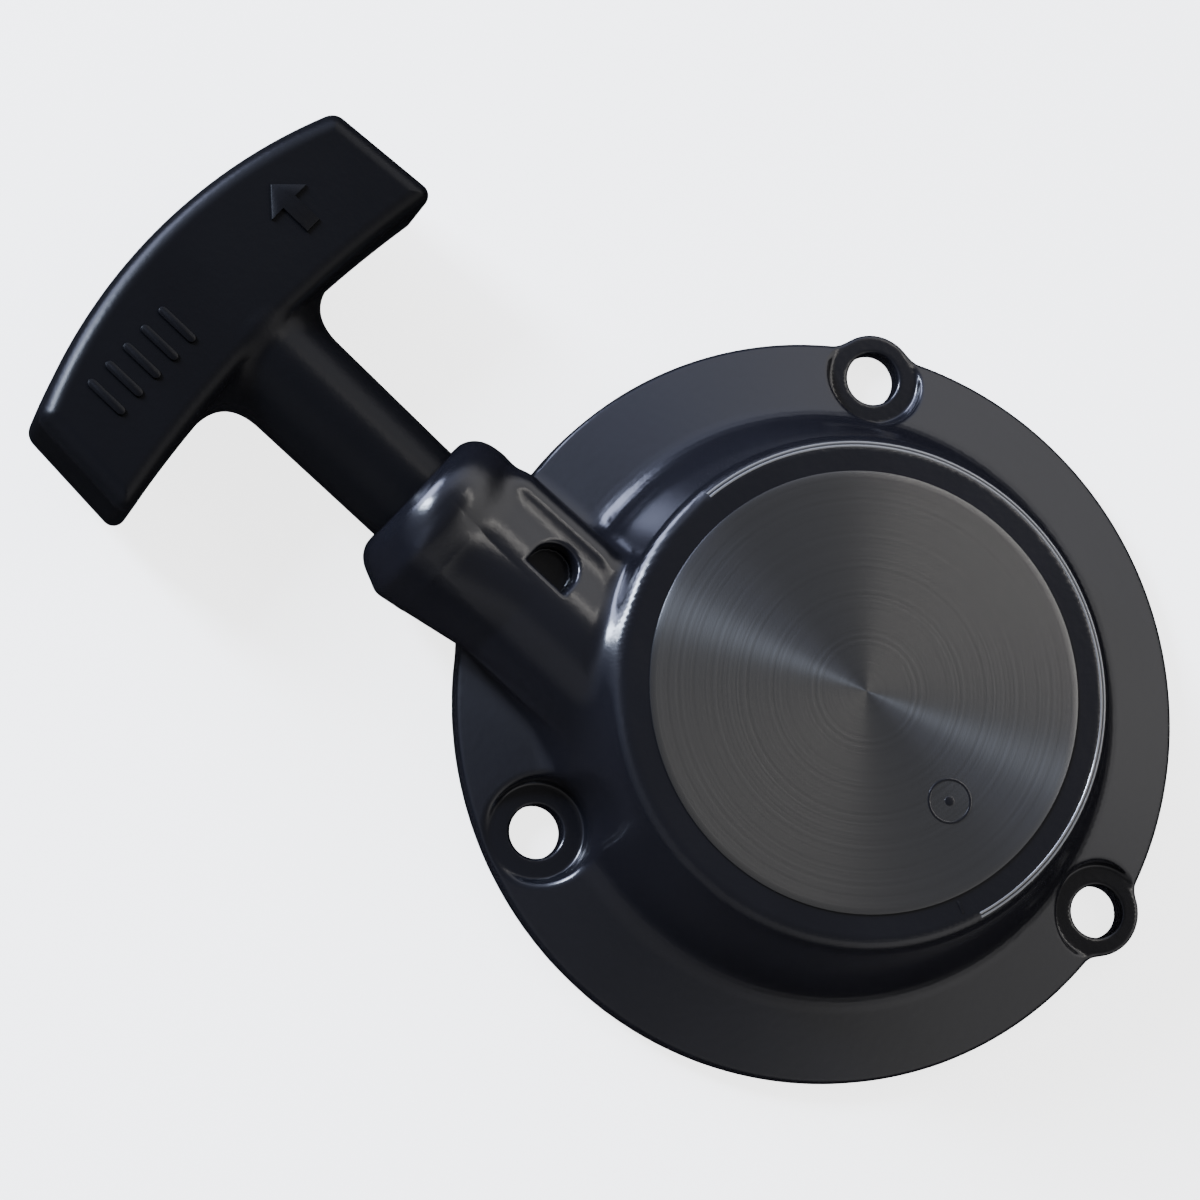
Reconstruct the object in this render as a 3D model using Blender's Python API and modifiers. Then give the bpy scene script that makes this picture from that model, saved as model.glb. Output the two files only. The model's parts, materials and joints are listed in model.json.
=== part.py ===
"""Recoil starter for a small engine, resting on its engine-side mounting face with the dome up.

The crank axis is parallel to Z, and the rope is pulled along +X. Every part hangs on an empty at the
crank axis, on the mounting plane, so each shape below is written about that axis.
"""

import math

import bmesh
import bpy
from mathutils import Matrix, Vector

MM = 0.001
GAP = 0.3 * MM  # between faces that touch
FIT = 0.08 * MM  # around a pin in its hole
LAP = 1.0 * MM  # how far a cutter runs past what it cuts

# Case, about the crank axis
RIM_R = 55.0 * MM
RIM_H = 3.4 * MM
WALL = 2.4 * MM
DISC_R = 31.8 * MM
DISC_Z = 26.6 * MM
DISC_STEP = 0.3 * MM
DOME_R = 37.0 * MM
DOME_FOOT_R = 41.2 * MM
DOME_FOOT_Z = 8.3 * MM
DOME_EDGE_ROUND = 3.0 * MM
DOME_FOOT_ROUND = 6.0 * MM
CEILING_Z = 24.1 * MM
CASE_STEPS = 64

# Screw holes: angle round the crank axis, distance from it, pocket radius and ear radius
HOLE_R = 3.9 * MM
HOLE_FLOOR_Z = 3.6 * MM
HOLES = {
    "right": {"deg": -57.6, "r": 50.8 * MM, "pocket": 7.1 * MM, "ear": 6.7 * MM},
    "back": {"deg": -172.5, "r": 51.6 * MM, "pocket": 7.1 * MM, "ear": 6.7 * MM},
    "left": {"deg": 65.8, "r": 47.0 * MM, "pocket": 7.2 * MM, "ear": None},
}

# Rope outlet and the line that the handle is pulled along
ROPE_Y = 21.5 * MM
ROPE_Z = 13.5 * MM
ROPE_R = 1.75 * MM
COLLAR_R = 13.2 * MM
COLLAR_FRONT_X = 66.0 * MM
COLLAR_BACK_X = 57.0 * MM
COLLAR_ROUND = 3.0 * MM
NECK_R = 10.8 * MM
NECK_X = 20.0 * MM
SOCKET_R = 8.5 * MM
SOCKET_X = 60.2 * MM
RECESS_X = 44.5 * MM
RECESS_R = 3.5 * MM
RECESS_FROM = 2.0 * MM
RECESS_LENGTH = 5.3 * MM
RECESS_FLOOR = 5.3 * MM
GUIDE_R = 4.2 * MM
GUIDE_LIP_R = 6.4 * MM
GUIDE_LIP = 1.4 * MM
GUIDE_X = 44.0 * MM

# The block that the neck widens into beside the dome, seen from above, and its height
BLOCK_TOP_Z = 22.4 * MM
BLOCK_FOOT_Z = 1.6 * MM
BLOCK_OUTLINE = (
    (57.8 * MM, 24.0 * MM, 0),
    (50.0 * MM, 26.4 * MM, 2.0 * MM),
    (30.0 * MM, 26.4 * MM, 0),
    (36.5 * MM, 8.6 * MM, 6.0 * MM),
    (57.8 * MM, 8.8 * MM, 0),
)

# Centre post, spring chamber
POST_R = 6.5 * MM
POST_Z = 7.9 * MM
INSERT_R = 3.4 * MM
INSERT_TOP_Z = 21.0 * MM
SPRING_WALL_R = 22.2 * MM
SPRING_WALL_T = 1.5 * MM
SPRING_WALL_Z = 18.2 * MM
SPRING_Z = 18.4 * MM
SPRING_H = 5.3 * MM
SPRING_T = 0.45 * MM
SPRING_IN_R = 9.9 * MM
SPRING_OUT_R = 21.5 * MM
SPRING_TURNS = 9.5
PLATE_T = 0.5 * MM

# Reel
REEL_R = 29.0 * MM
REEL_BORE_R = POST_R + 0.1 * MM
REEL_Z = 6.8 * MM
REEL_TOP_Z = 17.0 * MM
FLANGE_T = 1.3 * MM
CORE_R = 14.8 * MM
HUB_R = 9.3 * MM
HUB_TOP_Z = 23.4 * MM
HUB_FOOT_R = 7.5 * MM
WOUND_R = 25.2 * MM
KNOT_R = 2.6 * MM
KNOT_AT = 10.9 * MM
REEL_STEPS = 48

# Pawls, friction guide and centre screw, all below the reel
PAWL_TURN = math.radians(25.0)  # the pawls' pins stand here and half a turn on
PAWL_PIVOT_R = 17.0 * MM
PAWL_LENGTH = 11.5 * MM
PAWL_HALF = 2.7 * MM
PAWL_Z = 3.7 * MM
PAWL_H = 2.8 * MM
PIN_R = 1.5 * MM
PIN_HEAD_R = 2.9 * MM
PIN_HEAD_H = 0.8 * MM
PAWL_SPRING_WIRE_R = 0.25 * MM
PAWL_SPRING_TURNS = 2
DRAG_PLATE_R = 9.3 * MM
DRAG_PLATE_Z = 3.9 * MM
DRAG_PLATE_T = 1.2 * MM
DRAG_LUG_R = 13.6 * MM
DRAG_LUG_TURN = math.radians(-36.0)  # from the pawl's pin
DRAG_LUG_HALF = 1.2 * MM
DRAG_SPRING_R = 5.6 * MM
DRAG_SPRING_TOP_R = 4.1 * MM
DRAG_SPRING_WIRE_R = 0.35 * MM
DRAG_SPRING_TURNS = 2.5
SCREW_R = 2.5 * MM
SCREW_HEAD_R = 4.6 * MM
SCREW_HEAD_Z = 0.5 * MM
SCREW_HEAD_H = 2.3 * MM
WASHER_R = 6.0 * MM
WASHER_T = 0.8 * MM

# Handle: X of its bar's crown and ends, and sizes across the pull
CROWN_X = 117.5 * MM
CROWN_ARC_R = 80.0 * MM
BAR_TOP_HALF = 31.1 * MM
BAR_FOOT_HALF = 32.5 * MM
BAR_FOOT_X = 92.6 * MM
BAR_WAIST_X = 95.5 * MM
BAR_CORNER_R = 2.5 * MM
BAR_H = 18.6 * MM
BAR_ROUND = 3.0 * MM
RIB_H = 0.5 * MM
STEM_R = 8.35 * MM
STEM_END_R = 7.95 * MM
STEM_END_X = 60.8 * MM
STEM_ROUND = 5.0 * MM
KNOT_POCKET_R = 5.5 * MM
KNOT_POCKET_X = 104.0 * MM
WASHER_GRIP = 1.0 * MM
ROPE_HOLE_R = 2.4 * MM
ROPE_STEPS = 10


def ear_reach(hole):
    """The lowest X that a hole's ear reaches."""
    return hole["r"] * math.cos(math.radians(hole["deg"])) - hole["ear"]


# The origin is the middle of the footprint, so the crank axis stands this far along X.
CRANK_X = -(CROWN_X + ear_reach(HOLES["back"])) / 2


# ---------------------------------------------------------------- scene and materials


def clear_scene():
    for obj in list(bpy.data.objects):
        bpy.data.objects.remove(obj)


def make_collection(name):
    made = bpy.data.collections.new(name)
    bpy.context.scene.collection.children.link(made)
    return made


def material(name, colour, roughness, metallic=0.0):
    made = bpy.data.materials.new(name)
    made.use_nodes = True
    shader = made.node_tree.nodes["Principled BSDF"]
    shader.inputs["Base Color"].default_value = (*colour, 1.0)
    shader.inputs["Roughness"].default_value = roughness
    shader.inputs["Metallic"].default_value = metallic
    return made


clear_scene()
PARTS = make_collection("recoil_starter")
CUTTERS = make_collection("cutters")
CRANK = bpy.data.objects.new("crank_axis", None)
CRANK.location = (CRANK_X, 0, 0)
PARTS.objects.link(CRANK)

CASE_BLACK = material("case_black", (0.012, 0.013, 0.018), 0.25)
HANDLE_BLACK = material("handle_black", (0.011, 0.011, 0.014), 0.32)
NYLON = material("reel_nylon", (0.55, 0.53, 0.47), 0.45)
STEEL = material("steel", (0.55, 0.56, 0.58), 0.3, 1.0)
SPRING_STEEL = material("spring_steel", (0.22, 0.24, 0.3), 0.28, 1.0)
BRASS = material("brass", (0.72, 0.55, 0.25), 0.3, 1.0)
ROPE = material("rope_white", (0.72, 0.71, 0.67), 0.85)


# ---------------------------------------------------------------- shape helpers


def add_mesh(name, mesh, mat=None, parent=CRANK):
    """A named part on the crank axis, or with no material a cutter that isn't part of the object."""
    obj = bpy.data.objects.new(name, mesh)
    obj.parent = parent
    if mat:
        mesh.materials.append(mat)
        PARTS.objects.link(obj)
    else:
        CUTTERS.objects.link(obj)
        obj.hide_render = True
        obj.display_type = "WIRE"
    return obj


def from_bmesh(name, bm, mat=None):
    mesh = bpy.data.meshes.new(name)
    bm.to_mesh(mesh)
    bm.free()
    return add_mesh(name, mesh, mat)


def smooth(obj, degrees=35):
    obj.data.shade_smooth()
    obj.data.set_sharp_from_angle(angle=math.radians(degrees))
    return obj


def rounded(corners, steps=4):
    """A polyline through (x, y, radius) corners, each turned into an arc of that radius."""
    points = []
    for i, (x, y, radius) in enumerate(corners):
        here = Vector((x, y))
        if not radius or i in (0, len(corners) - 1):
            points.append((x, y))
            continue
        before = (Vector(corners[i - 1][:2]) - here).normalized()
        after = (Vector(corners[i + 1][:2]) - here).normalized()
        half = before.angle(after) / 2
        centre = here + (before + after).normalized() * radius / math.sin(half)
        start = here + before * radius / math.tan(half) - centre
        end = here + after * radius / math.tan(half) - centre
        sweep = start.angle_signed(end)
        for step in range(steps + 1):
            turn = -sweep * step / steps
            arm = Matrix.Rotation(turn, 2) @ start
            points.append(tuple(centre + arm))
    return points


def turned(name, profile, mat=None, steps=32, along="Z", centre=(0, 0, 0)):
    """A closed (radius, height) outline turned about Z, or with along="X" about a line parallel to X."""
    bm = bmesh.new()
    loop = [bm.verts.new((r, 0, z)) for r, z in profile]
    for a, b in zip(loop, loop[1:] + loop[:1]):
        on_axis = abs(a.co.x) < 1e-9 and abs(b.co.x) < 1e-9
        if not on_axis:
            bm.edges.new((a, b))
    obj = from_bmesh(name, bm, mat)
    screw = obj.modifiers.new("turn", "SCREW")
    screw.steps = screw.render_steps = steps
    screw.use_merge_vertices = True
    screw.merge_threshold = 0.001 * MM
    screw.use_smooth_shade = True
    if along == "X":
        obj.rotation_euler = (0, math.pi / 2, 0)
    obj.location = centre
    return obj


def rod(name, r, low, high, mat=None, steps=32, centre=(0, 0), along="Z"):
    """A cylinder from low to high along Z at (x, y), or along X at (y, z)."""
    bm = bmesh.new()
    bmesh.ops.create_cone(bm, cap_ends=True, segments=steps, radius1=r, radius2=r, depth=high - low)
    obj = from_bmesh(name, bm, mat)
    middle = (low + high) / 2
    if along == "X":
        obj.rotation_euler = (0, math.pi / 2, 0)
        obj.location = (middle, *centre)
    else:
        obj.location = (*centre, middle)
    return obj


def block(name, low, high, mat=None):
    bm = bmesh.new()
    bmesh.ops.create_cube(bm, size=1.0)
    size = [h - l for l, h in zip(low, high)]
    bmesh.ops.scale(bm, vec=size, verts=bm.verts)
    obj = from_bmesh(name, bm, mat)
    obj.location = [(l + h) / 2 for l, h in zip(low, high)]
    return obj


def slab(name, outline, low, high, mat=None):
    """A flat outline, anticlockwise from above, from low to high."""
    bm = bmesh.new()
    face = bm.faces.new([bm.verts.new((x, y, low)) for x, y in outline])
    grown = bmesh.ops.extrude_face_region(bm, geom=[face])["geom"]
    top = [v for v in grown if isinstance(v, bmesh.types.BMVert)]
    bmesh.ops.translate(bm, vec=(0, 0, high - low), verts=top)
    bmesh.ops.recalc_face_normals(bm, faces=bm.faces)
    return from_bmesh(name, bm, mat)


def tube(name, points, r, mat, sides=2):
    """A round wire or rope through the points, as a curve with filled caps."""
    curve = bpy.data.curves.new(name, "CURVE")
    curve.dimensions = "3D"
    curve.bevel_depth = r
    curve.bevel_resolution = sides
    curve.use_fill_caps = True
    spline = curve.splines.new("POLY")
    spline.points.add(len(points) - 1)
    for point, co in zip(spline.points, points):
        point.co = (*co, 1)
    curve.materials.append(mat)
    obj = bpy.data.objects.new(name, curve)
    obj.parent = CRANK
    PARTS.objects.link(obj)
    return obj


def combine(obj, others, operation, solver):
    for other in others:
        step = obj.modifiers.new(f"{operation.lower()}_{other.name}", "BOOLEAN")
        step.operation = operation
        step.object = other
        step.solver = solver
    return obj


def cut(obj, *others, solver="EXACT"):
    return combine(obj, others, "DIFFERENCE", solver)


def join(obj, *others, solver="EXACT"):
    return combine(obj, others, "UNION", solver)


def soften(obj, width, segments=2, degrees=40):
    bevel = obj.modifiers.new("round_edges", "BEVEL")
    bevel.width = width
    bevel.segments = segments
    bevel.limit_method = "ANGLE"
    bevel.angle_limit = math.radians(degrees)
    return obj


def polar(r, angle, z=None):
    place = (r * math.cos(angle), r * math.sin(angle))
    return place if z is None else (*place, z)


def hole_centre(hole):
    return polar(hole["r"], math.radians(hole["deg"]))


# ---------------------------------------------------------------- case and what is fixed in it


def recess_outline():
    """The moulding recess on top of the neck: straight beside the rope line, round towards the dome."""
    outline = [(RECESS_X + RECESS_R, ROPE_Y - RECESS_FROM), (RECESS_X - RECESS_R, ROPE_Y - RECESS_FROM)]
    round_y = ROPE_Y - RECESS_FROM - RECESS_LENGTH + RECESS_R
    for i in range(9):
        a = math.pi + math.pi * i / 8
        outline.append((RECESS_X + RECESS_R * math.cos(a), round_y + RECESS_R * math.sin(a)))
    return outline


def make_case():
    outer = [(0, DISC_Z), (DISC_R, DISC_Z), (DISC_R + DISC_STEP / 2, DISC_Z - DISC_STEP)]
    outer += rounded(
        [
            (DISC_R + DISC_STEP, DISC_Z - DISC_STEP, 0),
            (DOME_R, DISC_Z - DISC_STEP, DOME_EDGE_ROUND),
            (DOME_FOOT_R, DOME_FOOT_Z, DOME_FOOT_ROUND),
            (RIM_R, RIM_H, 0.8 * MM),
            (RIM_R, 0, 0),
        ]
    )
    case = turned("starter_case", outer + [(0, 0)], CASE_BLACK, CASE_STEPS)

    collar = rounded(
        [
            (0, COLLAR_FRONT_X, 0),
            (COLLAR_R, COLLAR_FRONT_X, COLLAR_ROUND),
            (COLLAR_R, COLLAR_BACK_X, 1.5 * MM),
            (NECK_R, COLLAR_BACK_X, 0),
            (NECK_R, NECK_X, 0),
            (0, NECK_X, 0),
        ]
    )
    outlet = turned("outlet_shape", collar, None, 32, "X", (0, ROPE_Y, ROPE_Z))
    block_points = rounded(BLOCK_OUTLINE, 5)
    neck_block = slab("neck_block", block_points, BLOCK_FOOT_Z, BLOCK_TOP_Z)
    soften(neck_block, 2.0 * MM, 2, 60)
    ears = [
        rod(f"ear_{name}", hole["ear"], 0, HOLE_FLOOR_Z + LAP, None, 32, hole_centre(hole))
        for name, hole in HOLES.items()
        if hole["ear"]
    ]

    slope = (DOME_FOOT_Z - RIM_H) / (RIM_R - DOME_FOOT_R)
    inner_rim_r = RIM_R - WALL
    inner_foot_r = DOME_FOOT_R - WALL + 0.1 * MM
    skirt_drop = WALL / math.cos(math.atan(slope))
    wall_r = SPRING_WALL_R + SPRING_WALL_T
    hollow = turned(
        "hollow",
        rounded(
            [
                (0, POST_Z, 0),
                (POST_R, POST_Z, 0),
                (POST_R, CEILING_Z, 0),
                (SPRING_WALL_R, CEILING_Z, 0),
                (SPRING_WALL_R, SPRING_WALL_Z, 0),
                (wall_r, SPRING_WALL_Z, 0),
                (wall_r, CEILING_Z, 0),
                (DOME_R - 2.1 * MM, CEILING_Z, 1.2 * MM),
                (inner_foot_r, RIM_H + slope * (RIM_R - inner_foot_r) - skirt_drop, 3.0 * MM),
                (inner_rim_r, RIM_H + slope * (RIM_R - inner_rim_r) - skirt_drop, 0),
                (inner_rim_r, -LAP, 0),
                (0, -LAP, 0),
            ],
            steps=2,
        ),
        None,
        CASE_STEPS,
    )
    pockets = []
    holes = []
    for name, hole in HOLES.items():
        spot = hole_centre(hole)
        guard = rod(f"guard_{name}", hole["pocket"] + 1.8 * MM, -2 * LAP, DISC_Z, None, 32, spot)
        cut(hollow, guard)
        pockets.append(rod(f"pocket_{name}", hole["pocket"], HOLE_FLOOR_Z, DISC_Z, None, 32, spot))
        holes.append(rod(f"hole_{name}", HOLE_R, -LAP, DISC_Z, None, 24, spot))

    rope_bore = rod("rope_bore", GUIDE_R + FIT, NECK_X - 6 * MM, CROWN_X, None, 24, (ROPE_Y, ROPE_Z), "X")
    lip_seat = rod(
        "lip_seat", GUIDE_LIP_R + FIT, SOCKET_X - GUIDE_LIP - FIT, CROWN_X, None, 24, (ROPE_Y, ROPE_Z), "X"
    )
    socket = rod("stem_socket", SOCKET_R, SOCKET_X, CROWN_X, None, 32, (ROPE_Y, ROPE_Z), "X")
    insert_bore = rod("insert_bore", INSERT_R + FIT, POST_Z - LAP, INSERT_TOP_Z, None, 24)
    core_recess = slab("core_recess", recess_outline(), ROPE_Z + RECESS_FLOOR, DISC_Z + LAP)
    spring_slot = block(
        "spring_slot",
        (-wall_r - LAP, -0.8 * MM, SPRING_WALL_Z - LAP),
        (-SPRING_WALL_R + LAP, 0.8 * MM, CEILING_Z - 0.2 * MM),
    )
    # EXACT leaves slits in the thin skirt after this many cuts, so the case is cut with MANIFOLD.
    join(case, outlet, neck_block, *ears, solver="MANIFOLD")
    tunnels = (rope_bore, lip_seat, socket, insert_bore, core_recess, spring_slot)
    cut(case, *pockets, hollow, *holes, *tunnels, solver="MANIFOLD")
    return case


def make_case_fittings():
    turned(
        "post_insert",
        [
            (SCREW_R + FIT, INSERT_TOP_Z - GAP),
            (INSERT_R, INSERT_TOP_Z - GAP),
            (INSERT_R, POST_Z),
            (SCREW_R + FIT, POST_Z),
        ],
        BRASS,
        24,
    )
    turned(
        "rope_guide",
        [
            (ROPE_R + 0.6 * MM, SOCKET_X - GAP),
            (GUIDE_LIP_R, SOCKET_X - GAP),
            (GUIDE_LIP_R, SOCKET_X - GUIDE_LIP),
            (GUIDE_R, SOCKET_X - GUIDE_LIP),
            (GUIDE_R, GUIDE_X),
            (ROPE_R + 0.6 * MM, GUIDE_X),
        ],
        STEEL,
        24,
        "X",
        (0, ROPE_Y, ROPE_Z),
    )
    plate_z = SPRING_WALL_Z - GAP
    turned(
        "spring_cover_plate",
        [
            (HUB_R + 0.4 * MM, plate_z),
            (SPRING_WALL_R + SPRING_WALL_T, plate_z),
            (SPRING_WALL_R + SPRING_WALL_T, plate_z - PLATE_T),
            (HUB_R + 0.4 * MM, plate_z - PLATE_T),
        ],
        STEEL,
        REEL_STEPS,
    )


def make_recoil_spring():
    """A flat strip coiled from a slot in the reel's hub out to a slot in the spring wall."""
    bm = bmesh.new()
    steps = round(SPRING_TURNS * 20)
    path = [(HUB_R - 1.0 * MM, 0)]
    for i in range(steps + 1):
        share = i / steps
        r = SPRING_IN_R + (SPRING_OUT_R - SPRING_IN_R) * share
        path.append(polar(r, 2 * math.pi * SPRING_TURNS * share))
    path.append(polar(SPRING_WALL_R + SPRING_WALL_T + 1.0 * MM, 2 * math.pi * SPRING_TURNS))
    edges = [[bm.verts.new((x, y, SPRING_Z + dz)) for x, y in path] for dz in (0, SPRING_H)]
    for i in range(len(path) - 1):
        bm.faces.new((edges[0][i], edges[0][i + 1], edges[1][i + 1], edges[1][i]))
    spring = from_bmesh("recoil_spring", bm, SPRING_STEEL)
    strip = spring.modifiers.new("strip", "SOLIDIFY")
    strip.thickness = SPRING_T
    strip.offset = 0
    return smooth(spring, 50)


def make_centre_screw():
    """A pan-head screw up into the post's insert, with a cross recess in its head."""
    washer_z = SCREW_HEAD_Z + SCREW_HEAD_H + GAP / 2
    head_top = SCREW_HEAD_Z + SCREW_HEAD_H
    screw = turned(
        "centre_screw",
        rounded(
            [
                (0, INSERT_TOP_Z - 3 * MM, 0),
                (SCREW_R, INSERT_TOP_Z - 3 * MM, 0),
                (SCREW_R, head_top, 0),
                (SCREW_HEAD_R, head_top, 0),
                (SCREW_HEAD_R, SCREW_HEAD_Z, 1.0 * MM),
                (0, SCREW_HEAD_Z, 0),
            ],
            steps=3,
        ),
        STEEL,
        24,
    )
    slots = [
        block(f"cross_{i}", (-a, -b, SCREW_HEAD_Z - LAP), (a, b, SCREW_HEAD_Z + 1.4 * MM))
        for i, (a, b) in enumerate(((2.4 * MM, 0.55 * MM), (0.55 * MM, 2.4 * MM)))
    ]
    cut(screw, *slots)
    turned(
        "screw_washer",
        [
            (SCREW_R + FIT, washer_z + WASHER_T),
            (WASHER_R, washer_z + WASHER_T),
            (WASHER_R, washer_z),
            (SCREW_R + FIT, washer_z),
        ],
        STEEL,
        24,
    )


# ---------------------------------------------------------------- reel and rope


def make_reel():
    inner_low = REEL_Z + FLANGE_T
    inner_high = REEL_TOP_Z - FLANGE_T
    hub_foot_z = DRAG_PLATE_Z + DRAG_PLATE_T + GAP
    reel = turned(
        "rope_reel",
        [
            (REEL_BORE_R, HUB_TOP_Z),
            (HUB_R, HUB_TOP_Z),
            (HUB_R, REEL_TOP_Z),
            (REEL_R, REEL_TOP_Z),
            (REEL_R, inner_high + 0.5 * MM),
            (CORE_R, inner_high),
            (CORE_R, inner_low),
            (REEL_R, inner_low - 0.5 * MM),
            (REEL_R, REEL_Z),
            (HUB_FOOT_R, REEL_Z),
            (HUB_FOOT_R, hub_foot_z),
            (REEL_BORE_R, hub_foot_z),
        ],
        NYLON,
        REEL_STEPS,
    )
    pins = [
        rod(f"pin_hole_{i}", PIN_R + FIT, REEL_Z - LAP, inner_low + LAP, None, 16, polar(PAWL_PIVOT_R, turn))
        for i, turn in enumerate(pawl_turns())
    ]
    knot_pocket = rod(
        "knot_pocket", KNOT_R + 0.6 * MM, REEL_Z - LAP, REEL_Z + 2 * KNOT_R + GAP, None, 20, (0, -KNOT_AT)
    )
    hook_slot = block(
        "hook_slot",
        (HUB_R - 2.0 * MM, -0.6 * MM, REEL_TOP_Z + LAP),
        (HUB_R + LAP, 0.6 * MM, HUB_TOP_Z + LAP),
    )
    cut(reel, *pins, knot_pocket, hook_slot)
    return reel


def make_rope():
    """The wound rope as one ring, its knot in the reel, the run out to the handle, and the knot there."""
    low = REEL_Z + FLANGE_T + GAP
    high = REEL_TOP_Z - FLANGE_T - GAP
    turned(
        "wound_rope",
        [(CORE_R + GAP, high), (WOUND_R, high), (WOUND_R, low), (CORE_R + GAP, low)],
        ROPE,
        REEL_STEPS,
    )
    bm = bmesh.new()
    bmesh.ops.create_uvsphere(bm, u_segments=12, v_segments=8, radius=KNOT_R)
    reel_knot = from_bmesh("reel_knot", bm, ROPE)
    reel_knot.location = (0, -KNOT_AT, REEL_Z + KNOT_R)
    smooth(reel_knot, 60)

    run_r = WOUND_R + ROPE_R + GAP
    start = (2.0 * MM, run_r)
    inside_guide = GUIDE_X + 2 * MM
    end_x = KNOT_POCKET_X + GAP + WASHER_GRIP
    points = []
    bend = 10
    for i in range(bend + 1):
        t = i / bend
        ease = t * t * (3 - 2 * t)
        x = start[0] + (inside_guide - start[0]) * t
        points.append((x, start[1] + (ROPE_Y - start[1]) * ease, ROPE_Z))
    points += [(inside_guide + (end_x - inside_guide) * i / 6, ROPE_Y, ROPE_Z) for i in range(1, 7)]
    tube("rope_run", points, ROPE_R, ROPE, 2)


def pawl_turns():
    return [PAWL_TURN, PAWL_TURN + math.pi]


def pawl_outline():
    """Seen from above with the pivot at the origin and the crank axis towards -X: a hooked finger along -Y."""
    nose = -PAWL_LENGTH
    round_steps = 8
    outline = []
    for i in range(round_steps + 1):
        a = math.pi * i / round_steps
        outline.append((PAWL_HALF * math.cos(a), PAWL_HALF * math.sin(a)))
    outline += [
        (-PAWL_HALF - 0.6 * MM, nose * 0.45),
        (-PAWL_HALF - 1.6 * MM, nose * 0.8),
        (-PAWL_HALF - 1.4 * MM, nose),
        (-0.4 * MM, nose - 0.4 * MM),
        (PAWL_HALF - 0.5 * MM, nose * 0.75),
        (PAWL_HALF, nose * 0.35),
    ]
    return outline


def make_pawls():
    for label, turn in zip("ab", pawl_turns()):
        pivot = polar(PAWL_PIVOT_R, turn)
        pawl = slab(f"pawl_{label}", pawl_outline(), 0, PAWL_H, STEEL)
        pawl.location = (*pivot, PAWL_Z)
        pawl.rotation_euler = (0, 0, turn)
        eye = rod(f"pawl_eye_{label}", PIN_R + FIT, PAWL_Z - LAP, PAWL_Z + PAWL_H + LAP, None, 16, pivot)
        cut(pawl, eye)
        head_low = PAWL_Z - GAP - 2 * MM - PIN_HEAD_H
        pin = turned(
            f"pawl_pin_{label}",
            [
                (0, REEL_Z + FLANGE_T - GAP),
                (PIN_R, REEL_Z + FLANGE_T - GAP),
                (PIN_R, head_low + PIN_HEAD_H),
                (PIN_HEAD_R, head_low + PIN_HEAD_H),
                (PIN_HEAD_R, head_low),
                (0, head_low),
            ],
            STEEL,
            16,
            "Z",
            (*pivot, 0),
        )
        smooth(pin)
        make_pawl_spring(label, pivot, turn, head_low + PIN_HEAD_H)


def make_pawl_spring(label, pivot, turn, low):
    """A torsion spring round the pin, between its head and the pawl, with a leg along the pawl."""
    wire = PAWL_SPRING_WIRE_R
    coil_r = PIN_R + wire + 0.2 * MM
    base = low + wire + 0.1 * MM
    rise = PAWL_Z - GAP - wire - base
    per_turn = 10
    steps = PAWL_SPRING_TURNS * per_turn
    points = []
    for i in range(steps + 1):
        a = turn - math.pi + 2 * math.pi * i / per_turn
        points.append((pivot[0] + coil_r * math.cos(a), pivot[1] + coil_r * math.sin(a), base + rise * i / steps))
    along = Vector((math.sin(turn), -math.cos(turn), 0))
    leg_start = Vector(points[-1])
    points.append(tuple(leg_start + along * 3.0 * MM))
    points.append(tuple(leg_start + along * 6.5 * MM))
    tube(f"pawl_spring_{label}", points, wire, SPRING_STEEL, 1)


def make_drag_guide():
    """The friction guide: a round plate on the screw, with a lug under each pawl's inner side."""
    plate_high = DRAG_PLATE_Z + DRAG_PLATE_T
    guide = turned(
        "ratchet_guide",
        [
            (SCREW_R + 2 * FIT, plate_high),
            (DRAG_PLATE_R, plate_high),
            (DRAG_PLATE_R, DRAG_PLATE_Z),
            (SCREW_R + 2 * FIT, DRAG_PLATE_Z),
        ],
        STEEL,
        32,
    )
    lugs = []
    for i, turn in enumerate(pawl_turns()):
        lug = block(
            f"lug_{i}",
            (-3.4 * MM, -DRAG_LUG_HALF, -DRAG_PLATE_T * 0.45),
            (3.4 * MM, DRAG_LUG_HALF, DRAG_PLATE_T * 0.45),
        )
        lug_turn = turn + DRAG_LUG_TURN
        lug.rotation_euler = (0, 0, lug_turn)
        lug.location = polar(DRAG_LUG_R - 3.4 * MM, lug_turn, DRAG_PLATE_Z + DRAG_PLATE_T / 2)
        lugs.append(lug)
    join(guide, *lugs)

    wire = DRAG_SPRING_WIRE_R
    low = plate_high + GAP + wire
    rise = POST_Z - GAP - wire - low
    per_turn = 14
    steps = round(DRAG_SPRING_TURNS * per_turn)
    points = []
    for i in range(steps + 1):
        share = i / steps
        r = DRAG_SPRING_R + (DRAG_SPRING_TOP_R - DRAG_SPRING_R) * share
        points.append(polar(r, 2 * math.pi * i / per_turn, low + rise * share))
    tube("drag_spring", points, wire, SPRING_STEEL, 1)


# ---------------------------------------------------------------- handle


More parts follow.
